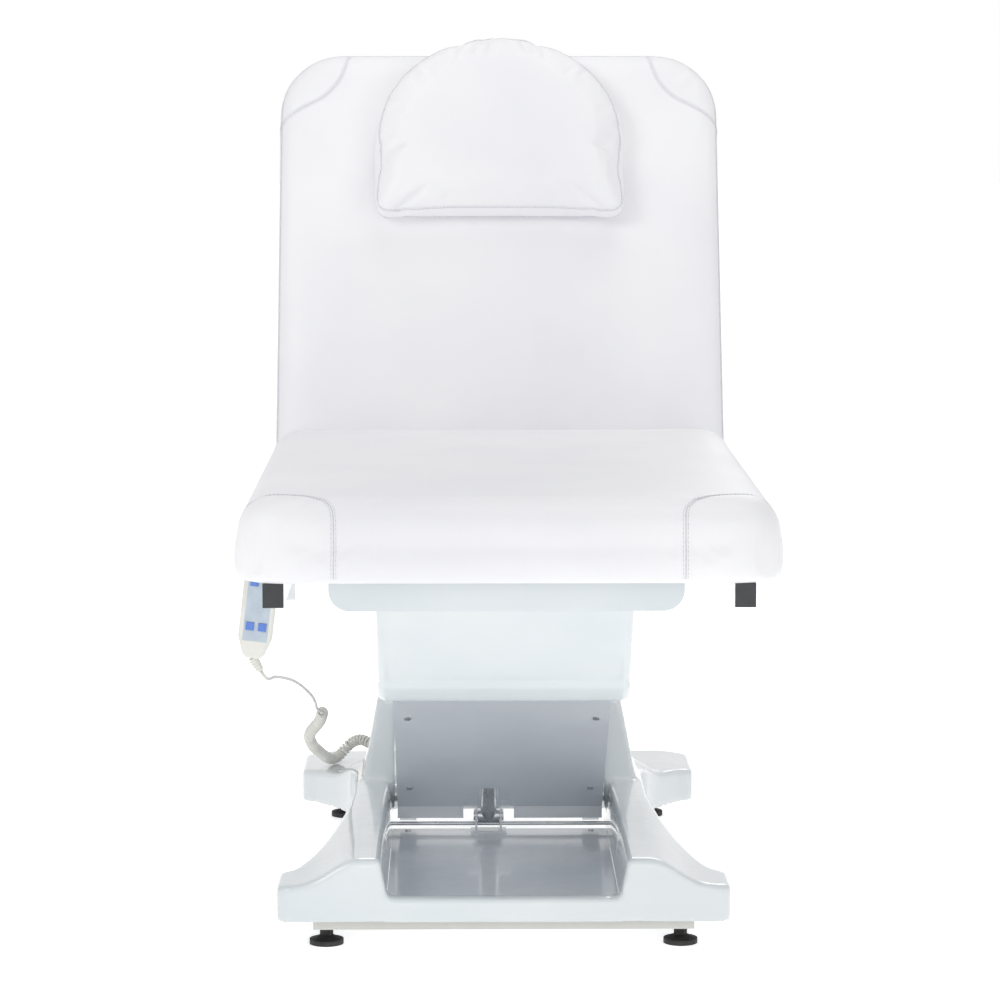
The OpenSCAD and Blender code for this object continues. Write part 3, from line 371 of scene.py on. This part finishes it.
def stacked(name, outline, profile):
    """A closed form from rings of the outline, each (inset, height)."""
    n = len(outline)
    verts, faces = [], []
    for d, z in profile:
        verts += [(p.x, p.y, z) for p in inset(outline, d)]
    for r in range(len(profile) - 1):
        for k in range(n):
            a, b = r * n + k, r * n + (k + 1) % n
            faces.append((a, b, b + n, a + n))
    faces.append(tuple(range(n - 1, -1, -1)))
    faces.append(tuple(range((len(profile) - 1) * n, len(profile) * n)))
    return mesh_piece(name, verts, faces)


def apply_all(ob):
    dg = bpy.context.evaluated_depsgraph_get()
    me = bpy.data.meshes.new_from_object(ob.evaluated_get(dg))
    ob.modifiers.clear()
    ob.data = me


def puff(ob, voxel, cap, keep_low, press=4.0):
    """Voxel remesh, a short cloth simulation under pressure, movement capped at cap metres."""
    mod = ob.modifiers.new("remesh", "REMESH")
    mod.mode, mod.voxel_size, mod.use_smooth_shade = "VOXEL", voxel, True
    sm = ob.modifiers.new("smooth", "SMOOTH")
    sm.iterations, sm.factor = 4, 0.5
    apply_all(ob)
    start = [v.co.copy() for v in ob.data.vertices]
    pin = ob.vertex_groups.new(name="pin")
    pin.add([v.index for v in ob.data.vertices if v.co.z < keep_low], 1.0, "REPLACE")
    cl = ob.modifiers.new("cloth", "CLOTH")
    cl.settings.use_pressure = True
    cl.settings.uniform_pressure_force = press
    cl.settings.vertex_group_mass = "pin"
    cl.settings.effector_weights.gravity = 0
    cl.settings.quality = 4
    cl.settings.tension_stiffness = 25
    cl.settings.bending_stiffness = 4
    cl.point_cache.frame_start, cl.point_cache.frame_end = 1, 20
    for f in range(1, 17):
        scene.frame_set(f)
    apply_all(ob)
    for v, s in zip(ob.data.vertices, start):
        d = v.co - s
        if d.length > cap:
            v.co = s + d * (cap / d.length)
    scene.frame_set(1)


def groove(ob, lines, depth=0.0016, width=0.0045):
    """Presses a sewn seam into the surface along each line."""
    pts = [p for line in lines for p in even(line, 0.002)]
    kd = KDTree(len(pts))
    for i, p in enumerate(pts):
        kd.insert(p, i)
    kd.balance()
    moved = []
    for v in ob.data.vertices:
        co, i, d = kd.find(v.co)
        if d < 3 * width:
            moved.append((v, v.normal * (-depth * math.exp(-(d / width) ** 2))))
    for v, m in moved:
        v.co += m


def on_surface(tree, points, lift=0.0):
    out = []
    for p in points:
        co, no, i, d = tree.find_nearest(p)
        out.append((co + no * lift, no))
    return out


def seams(name, ob, lines, rows=(-0.0035, 0.0035), stitch=0.0042, gap=0.0022, size=0.00042):
    """Stitches beside each seam and the fold of the cover in the middle, as one mesh."""
    me = ob.data
    tree = BVHTree.FromPolygons([v.co for v in me.vertices], [p.vertices for p in me.polygons])
    verts, faces = [], []

    def put(data):
        n = len(verts)
        verts.extend(data[0])
        faces.extend([tuple(i + n for i in f) for f in data[1]])

    for line in lines:
        centre = on_surface(tree, even(line, 0.003), 0.0001)
        put(tube_data([c for c, n in centre], 0.0008, 6))
        step = stitch + gap
        dense = even([c for c, n in centre], step)
        for i in range(len(dense) - 1):
            t = (dense[i + 1] - dense[i]).normalized()
            co, no, k, d = tree.find_nearest(dense[i])
            side = t.cross(no).normalized()
            for row in rows:
                ends = [dense[i] + side * row + t * (stitch * f) for f in (0, 0.25, 0.5, 0.75, 1)]
                lifted = [tree.find_nearest(e) for e in ends]
                pts = [q[0] + q[1] * h for q, h in zip(lifted, (-0.0002, 0.0004, 0.0005, 0.0004, -0.0002))]
                put(tube_data(pts, size, 5))
    return mesh_piece(name, verts, faces)


# The backrest hinge and the angle it is raised by
hinge = V((0, 0.327, 0.706))
RAISE = Matrix.Translation(hinge) @ Matrix.Rotation(math.radians(67), 4, "X") @ Matrix.Translation(-hinge)


def raise_up(*obs):
    for ob in obs:
        ob.data.transform(RAISE)
        ob.data.update()


def subdivide(ob):
    mod = ob.modifiers.new("fine", "SUBSURF")
    mod.levels = mod.render_levels = 1
    apply_all(ob)
    ob.data.shade_smooth()


VOX = 0.007

# Seat cushion: one pad, square at the front with a sewn patch round each front corner
seat_line = rounded(-0.396, 0.396, -0.888, 0.191, (0.072, 0.06))
seat = stacked("seat_pad", seat_line, (
    (0.020, 0.6932), (0.006, 0.6945), (0.0015, 0.703), (0, 0.716), (0, 0.752), (0.002, 0.772), (0.007, 0.788),
    (0.015, 0.7985), (0.028, 0.8055), (0.055, 0.8085), (0.12, 0.8095)))
puff(seat, VOX, 0.005, 0.698)
subdivide(seat)
seat_seams = []
for s in (-1, 1):
    plan = [(0.250, -0.893, 0.698), (0.250, -0.895, 0.74), (0.250, -0.893, 0.775), (0.251, -0.878, 0.803),
            (0.256, -0.858, 0.811), (0.274, -0.833, 0.812), (0.303, -0.812, 0.812), (0.337, -0.798, 0.811),
            (0.368, -0.789, 0.808), (0.390, -0.780, 0.797), (0.402, -0.772, 0.775), (0.403, -0.768, 0.74),
            (0.401, -0.766, 0.70)]
    seat_seams.append([V((s * x, y, z)) for x, y, z in plan])
seat_seams = [smooth_line(l, 6) for l in seat_seams]
groove(seat, seat_seams)
dress(seat, LEATHER, "carriage", "upholstery", "seat_cushion")
dress(seams("seat_stitching", seat, seat_seams), THREAD, "carriage", "upholstery")

# Backrest cushion, drawn flat and raised about the hinge
back_line = rounded(-0.396, 0.396, 0.268, 1.103, (0.045, 0.118))
back = stacked("backrest_pad", back_line, (
    (0.020, 0.7192), (0.006, 0.7205), (0.0015, 0.728), (0, 0.740), (0, 0.768), (0.002, 0.783), (0.007, 0.796),
    (0.015, 0.8035), (0.028, 0.8078), (0.05, 0.8093), (0.12, 0.8100)))
puff(back, VOX, 0.004, 0.724)
subdivide(back)
back_seams = []
for s in (-1, 1):
    plan = [(0.266, 1.110, 0.735), (0.266, 1.112, 0.76), (0.267, 1.108, 0.79), (0.268, 1.098, 0.806),
            (0.276, 1.063, 0.813), (0.287, 1.036, 0.813), (0.312, 1.008, 0.813), (0.345, 0.990, 0.813),
            (0.374, 0.975, 0.811), (0.394, 0.964, 0.800), (0.402, 0.957, 0.780), (0.402, 0.953, 0.740)]
    back_seams.append(smooth_line([V((s * x, y, z)) for x, y, z in plan], 6))
rim = inset(rounded(-0.400, 0.400, 0.265, 1.106, (0.045, 0.12), 14), 0.0035)
rim_line = [V((p.x, p.y, 0.790)) for p in rim]
back_seams.append(rim_line + rim_line[:1])
groove(back, back_seams)
back_stitch = seams("backrest_stitching", back, back_seams)
raise_up(back, back_stitch)
dress(back, LEATHER, "backrest", "upholstery", "backrest_cushion")
dress(back_stitch, THREAD, "backrest", "upholstery")

# Half-moon pillow, softer and fuller than the pads
half = [V((0.219 * math.cos(a), 0.906 + 0.199 * math.sin(a))) for a in
        [math.pi * i / 36 for i in range(37)]]
bottom_y = 0.768
side_points = [V((-0.219, 0.86)), V((-0.219, 0.815))]
corner = [V((-0.219 + 0.022 - 0.022 * math.cos(math.radians(t)),
             bottom_y + 0.022 - 0.022 * math.sin(math.radians(t)))) for t in (0, 30, 60, 90)]
under = [V((x, bottom_y + 0.003 * (1 - (x / 0.2) ** 2))) for x in (-0.15, -0.1, -0.05, 0, 0.05, 0.1, 0.15)]
left = side_points + corner
pillow_line = half + left + under + [V((-p.x, p.y)) for p in reversed(left)]
pillow = stacked("pillow_pad", pillow_line, (
    (0.030, 0.8125), (0.012, 0.8140), (0.004, 0.8200), (0, 0.832), (0, 0.856), (0.004, 0.866), (0.012, 0.873),
    (0.030, 0.8785), (0.065, 0.8815), (0.11, 0.8825)))
puff(pillow, 0.005, 0.009, 0.8145, 5.0)
subdivide(pillow)
ring = [V((p.x, p.y, 0.862)) for p in inset(pillow_line, -0.003)]
back_ring = [V((p.x, p.y, 0.826)) for p in inset(pillow_line, -0.003)]
pillow_seams = [ring + ring[:1], back_ring + back_ring[:1]]
groove(pillow, pillow_seams, 0.0018, 0.0035)
piping = seams("pillow_stitching", pillow, pillow_seams, rows=(-0.003,))
raise_up(pillow, piping)
dress(pillow, LEATHER, "head_pillow", "upholstery", "pillow")
dress(piping, THREAD, "head_pillow", "upholstery")


# ---------------------------------------------------------------- base cover
def arc(cx, cy, r, a0, a1, n):
    return [(cx + r * math.cos(math.radians(a0 + (a1 - a0) * i / n)),
             cy + r * math.sin(math.radians(a0 + (a1 - a0) * i / n))) for i in range(n + 1)]


def ease(t):
    t = max(0.0, min(1.0, t))
    return t * t * (3 - 2 * t)


# Front and back of the front legs, then of the rear legs
Y0, Y1, Y2, Y3 = -0.250, -0.120, 0.704, 0.889
half_line = arc(0.348, Y0 + 0.022, 0.022, -90, 0, 6) + arc(0.348, Y1 - 0.022, 0.022, 0, 90, 6)
half_line += [(0.262 + 0.086 * (1 - i / 10) ** 2, Y1 + 0.048 * i) for i in range(1, 11)]
half_line += [(0.262 + 0.086 * (1 - i / 8) ** 2, Y2 - 0.025 * i) for i in range(8, 0, -1)]
half_line += arc(0.348, Y2 + 0.022, 0.022, -90, 0, 6) + arc(0.348, Y3 - 0.022, 0.022, 0, 90, 6)


def prism(points, z0, z1):
    n = len(points)
    verts = [(x, y, z0) for x, y in points] + [(x, y, z1) for x, y in points]
    faces = [(k, (k + 1) % n, (k + 1) % n + n, k + n) for k in range(n)]
    return verts, faces + [tuple(range(n - 1, -1, -1)), tuple(range(n, 2 * n))]


def joined(name, datas):
    verts, faces = [], []
    for v, f in datas:
        n = len(verts)
        verts += list(v)
        faces += [tuple(i + n for i in g) for g in f]
    ob = mesh_piece(name, verts, faces)
    bm = bmesh.new()
    bm.from_mesh(ob.data)
    bmesh.ops.recalc_face_normals(bm, faces=bm.faces)
    bm.to_mesh(ob.data)
    bm.free()
    return ob


def remesh(ob, voxel, rounds):
    mod = ob.modifiers.new("remesh", "REMESH")
    mod.mode, mod.voxel_size, mod.use_smooth_shade = "VOXEL", voxel, True
    sm = ob.modifiers.new("smooth", "SMOOTH")
    sm.iterations, sm.factor = rounds, 0.5
    apply_all(ob)


TALL = 0.160
right = [(0.193, Y0)] + half_line + [(0.193, Y3)]
left_side = [(-x, y) for x, y in reversed(right)]
shell = joined("cover_shell", [
    prism(right, 0.045, TALL), prism(left_side, 0.045, TALL),
    prism([(-0.21, Y0), (0.21, Y0), (0.21, Y0 + 0.035), (-0.21, Y0 + 0.035)], 0.045, TALL),
    prism([(-0.21, 0.640), (0.21, 0.640), (0.21, Y3), (-0.21, Y3)], 0.045, TALL)])
CVOX = 0.006
remesh(shell, CVOX, 2)
for v in shell.data.vertices:
    x, y = abs(v.co.x), v.co.y
    leg = 0.107 + 0.005 * ease((0.36 - x) / 0.05)
    rail = 0.152 * (1 - ease((y - 0.60) / 0.09)) + 0.112 * ease((y - 0.60) / 0.09)
    top = rail + (leg - rail) * ease((x - 0.236) / 0.092)
    if x < 0.200:
        inner = 0.087 if y < 0 else 0.112
        top = inner + (top - inner) * ease((x - 0.190) / 0.010)
    v.co.z = 0.045 + (v.co.z - 0.045) * (top - 0.045) / (TALL - 0.045)


def hump(side):
    """The fin over the arm's pivots: round on top, flared where it meets the rail."""
    prof = [(0.644, 0.10), (0.396, 0.10), (0.397, 0.142), (0.436, 0.201)]
    prof += [(0.520 + 0.051 * math.cos(math.radians(150 - 5 * i)), 0.235 + 0.051 * math.sin(math.radians(150 - 5 * i)))
             for i in range(25)]
    prof += [(0.604, 0.201), (0.643, 0.142)]
    n = len(prof)
    inner = [(side * 0.189, y, z) for y, z in prof]
    outer = [(side * (0.256 - 0.186 * (z - 0.10)), y, z) for y, z in prof]
    faces = [(k, (k + 1) % n, (k + 1) % n + n, k + n) for k in range(n)]
    return inner + outer, faces + [tuple(range(n - 1, -1, -1)), tuple(range(n, 2 * n))]


me = shell.data
base_data = ([v.co.copy() for v in me.vertices], [tuple(p.vertices) for p in me.polygons])
bpy.data.objects.remove(shell)
shell = joined("cover_shell", [base_data, hump(-1), hump(1)])
remesh(shell, CVOX * 0.9, 7)
bm = bmesh.new()
bm.from_mesh(shell.data)
gone = [f for f in bm.faces if f.normal.z < -0.6 and f.calc_center_median().z < 0.056]
bmesh.ops.delete(bm, geom=gone, context="FACES")
bm.to_mesh(shell.data)
bm.free()
mod = shell.modifiers.new("wall", "SOLIDIFY")
mod.thickness, mod.offset = 0.003, -1
apply_all(shell)
shell.data.shade_smooth()
dress(shell, SHELL, "base", "cover", "base_cover")

# ---------------------------------------------------------------- lift shroud
def tray_form(name, section, wall):
    """A thin moulding from stacked rounded rectangles: (z, half width, front y, back y, corner radius)."""
    verts, faces, n = [], [], 0
    for z, hw, y0, y1, r in section:
        ring_pts = rounded(-hw, hw, y0, y1, (r, r), 8)
        n = len(ring_pts)
        verts += [(p.x, p.y, z) for p in ring_pts]
    for i in range(len(section) - 1):
        for k in range(n):
            a, b = i * n + k, i * n + (k + 1) % n
            faces.append((a, a + n, b + n, b))
    ob = mesh_piece(name, verts, faces)
    mod = ob.modifiers.new("wall", "SOLIDIFY")
    mod.thickness, mod.offset = wall, -1
    apply_all(ob)
    ob.data.shade_smooth()
    return ob


def front_at(z):
    return -0.430 + (0.606 - z) * 0.180 / 0.196


lip = [(0.6065, 0.0, 0.030), (0.600, 0.0, 0.026), (0.56, 0.0, 0.024), (0.50, 0.0, 0.024), (0.455, 0.0, 0.024),
       (0.446, 0.0005, 0.024), (0.442, -0.0012, 0.025), (0.436, -0.0012, 0.025), (0.424, -0.0008, 0.024),
       (0.416, 0.0015, 0.022), (0.412, 0.0045, 0.020), (0.4105, 0.0085, 0.016), (0.4115, 0.012, 0.014)]
shroud = tray_form("shroud_cover", [(z, 0.2025 - d, max(front_at(z), -0.430) + d, 0.130 - max(d, 0), r)
                                    for z, d, r in lip], 0.0028)
dress(shroud, SHELL, "carriage", "cover", "lift_shroud")

# ---------------------------------------------------------------- floor and light
floor_mat = material("studio_floor", "#fcfcfc", "#ffffff", (0.5, 0.6), patches=1.5, bumps=(("noise", 120, 0.0001),))
floor = mesh_piece("floor", [(-40, -40, 0), (40, -40, 0), (40, 40, 0), (-40, 40, 0)], [(0, 1, 2, 3)])


def seen_strength(tree, lit, seen):
    """Strength that lights the object by one value and shows another to camera, glossy and see-through rays."""
    path = tree.nodes.new("ShaderNodeLightPath")
    total = path.outputs["Is Camera Ray"]
    for ray in ("Is Glossy Ray", "Is Transmission Ray"):
        step = tree.nodes.new("ShaderNodeMath")
        step.operation, step.use_clamp = "ADD", True
        tree.links.new(total, step.inputs[0])
        tree.links.new(path.outputs[ray], step.inputs[1])
        total = step.outputs[0]
    scale = tree.nodes.new("ShaderNodeMath")
    scale.operation = "MULTIPLY_ADD"
    tree.links.new(total, scale.inputs[0])
    scale.inputs[1].default_value = seen - lit
    scale.inputs[2].default_value = lit
    return scale.outputs[0]


bsdf = next(n for n in floor_mat.node_tree.nodes if n.type == "BSDF_PRINCIPLED")
bsdf.inputs["Emission Color"].default_value = (1, 1, 1, 1)
floor_mat.node_tree.links.new(seen_strength(floor_mat.node_tree, 0.36, 0.60), bsdf.inputs["Emission Strength"])
floor.data.materials.append(floor_mat)


def area(name, loc, aim, size, power, tint=(1, 1, 1)):
    la = bpy.data.lights.new(name, "AREA")
    la.shape, la.size, la.size_y, la.energy, la.color = "RECTANGLE", size[0], size[1], power, tint
    ob = bpy.data.objects.new(name, la)
    ob.location = loc
    ob.rotation_euler = (V(aim) - V(loc)).to_track_quat("-Z", "Y").to_euler()
    scene.collection.objects.link(ob)
    return ob


area("key", (-2.8, -2.6, 3.2), (0, 0, 0.8), (1.8, 1.6), 42)
area("fill", (3.0, -3.0, 2.0), (0, 0, 0.7), (2.0, 2.0), 20)
area("top", (0.4, 0.4, 4.0), (0, 0.2, 0), (2.6, 2.2), 26)
area("front_low", (0.5, -5.4, 0.8), (0, 0, 0.4), (2.6, 1.2), 15)
area("back_fill", (0.6, 4.6, 2.6), (0, 0.4, 0.7), (2.4, 1.8), 26)
world = bpy.data.worlds.new("studio")
world.use_nodes = True
world.node_tree.nodes["Background"].inputs[0].default_value = (1, 1, 1, 1)
sky = world.node_tree.nodes["Background"]
world.node_tree.links.new(seen_strength(world.node_tree, 0.42, 1.0), sky.inputs[1])
scene.world = world
scene.view_settings.view_transform = "Standard"
scene.view_settings.look = "None"
